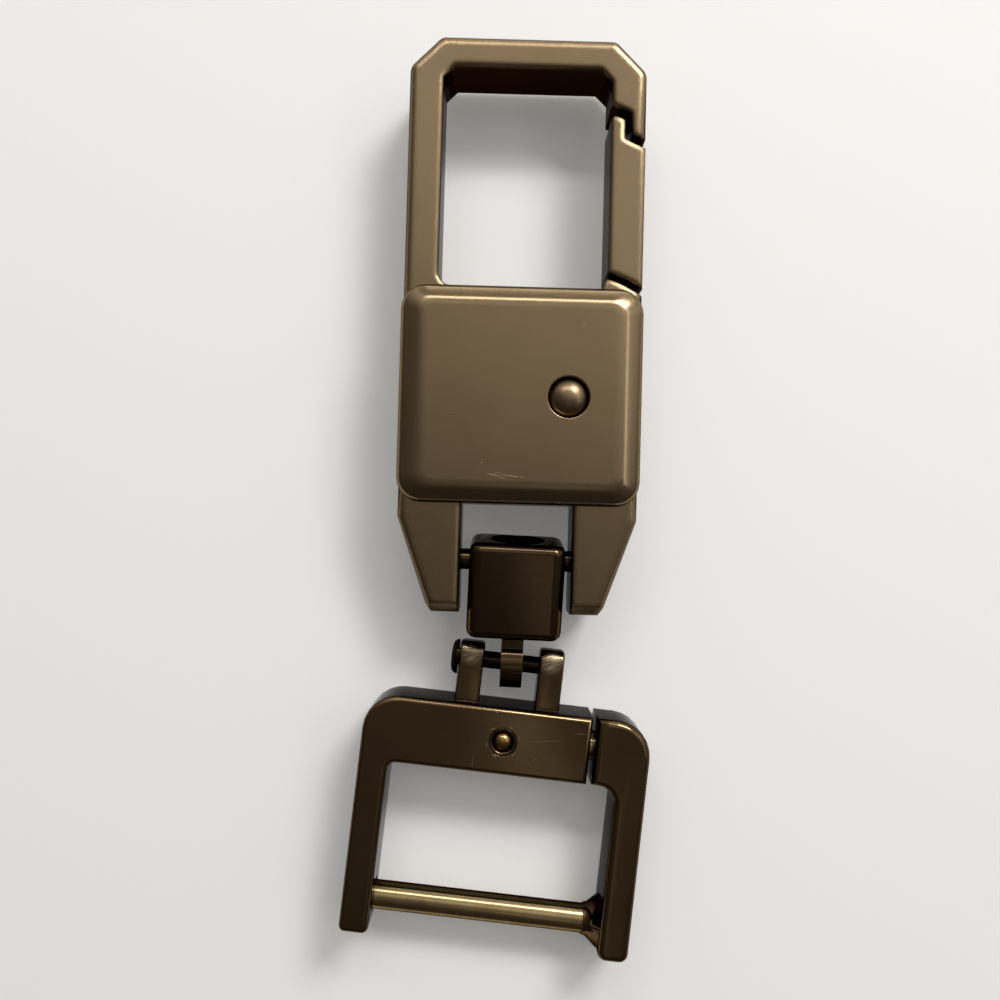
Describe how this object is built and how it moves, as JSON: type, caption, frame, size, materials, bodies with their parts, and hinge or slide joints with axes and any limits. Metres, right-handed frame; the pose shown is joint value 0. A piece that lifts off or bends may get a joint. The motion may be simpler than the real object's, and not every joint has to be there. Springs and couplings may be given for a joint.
{
  "type": "metal keychain",
  "caption": "Metal keychain: spring-gate hook on a riveted block, tilting and turning link, and a key frame whose side arm and key bar pull off once a ball is pressed.",
  "frame": {"origin": "middle of the block's flat back, on which the keychain lies", "axes": "+Y along the keychain from the key frame to the hook's top, +Z out of the front with the domed rivet, +X to the gate's side"},
  "size_m": [0.0347, 0.104, 0.0115],
  "materials": {
    "hook_frame": "satin black nickel plate",
    "front_cover": "satin black nickel plate",
    "back_cover": "satin black nickel plate",
    "cover_dowel_upper": "ground",
    "cover_dowel_lower": "ground",
    "gate": "satin black nickel plate",
    "pivot_sleeve": "turned",
    "gate_rivet": "polished black nickel plate",
    "gate_spring": "drawn wire",
    "cross_pin": "polished black nickel plate",
    "swivel_barrel": "polished black nickel plate",
    "stem_washer": "stamped",
    "swivel_stem": "polished black nickel plate",
    "clevis_pin": "polished black nickel plate",
    "key_frame": "polished black nickel plate",
    "ball_sleeve": "polished black nickel plate",
    "release_ball": "polished",
    "ball_spring": "drawn wire",
    "side_arm": "polished black nickel plate",
    "guide_rod": "polished black nickel plate",
    "key_bar": "polished black nickel plate"
  },
  "bodies": {
    "hook_body": {"hook_frame": "hook_frame", "front_cover": "front_cover", "back_cover": "back_cover", "cover_dowel_upper": "cover_dowel_upper", "cover_dowel_lower": "cover_dowel_lower", "pivot_sleeve": "pivot_sleeve", "gate_rivet": "gate_rivet", "gate_spring": "gate_spring", "cross_pin": "cross_pin"},
    "gate_body": {"gate": "gate"},
    "barrel_body": {"swivel_barrel": "swivel_barrel", "stem_washer": "stem_washer"},
    "stem_body": {"swivel_stem": "swivel_stem"},
    "key_frame_body": {"key_frame": "key_frame", "clevis_pin": "clevis_pin", "ball_sleeve": "ball_sleeve", "ball_spring": "ball_spring"},
    "pull_section": {"side_arm": "side_arm", "guide_rod": "guide_rod", "key_bar": "key_bar"},
    "ball_body": {"release_ball": "release_ball"}
  },
  "joints": [
    {"name": "gate_hinge", "type": "hinge", "parent": "hook_body", "child": "gate_body", "pos_m": [0.00533, -0.00026, 0.0056], "axis": [0, 0, 1], "range_deg": [0, 20], "stiffness_Nm_per_rad": 0.02, "springref_deg": -28.65, "deforming": ["gate_spring"]},
    {"name": "barrel_tilt", "type": "hinge", "parent": "hook_body", "child": "barrel_body", "pos_m": [0.0002, -0.0185, 0.0056], "axis": [1, 0, 0], "range_deg": [-99, 81]},
    {"name": "stem_turn", "type": "hinge", "parent": "barrel_body", "child": "stem_body", "pos_m": [0.0002, -0.0185, 0.0056], "axis": [0.0241, 0.9874, 0.1564], "continuous": true},
    {"name": "key_hinge", "type": "hinge", "parent": "stem_body", "child": "key_frame_body", "pos_m": [-0.00009, -0.0305, 0.0037], "axis": [0.996, -0.0889, 0], "range_deg": [-81, 99]},
    {"name": "arm_slide", "type": "slide", "parent": "key_frame_body", "child": "pull_section", "axis": [0.996, -0.0889, 0], "range_m": [0, 0.0125]},
    {"name": "ball_press", "type": "slide", "parent": "key_frame_body", "child": "ball_body", "axis": [0, 0, -1], "range_m": [0, 0.0008], "stiffness_N_per_m": 300, "springref_m": -0.001, "deforming": ["ball_spring"]}
  ]
}
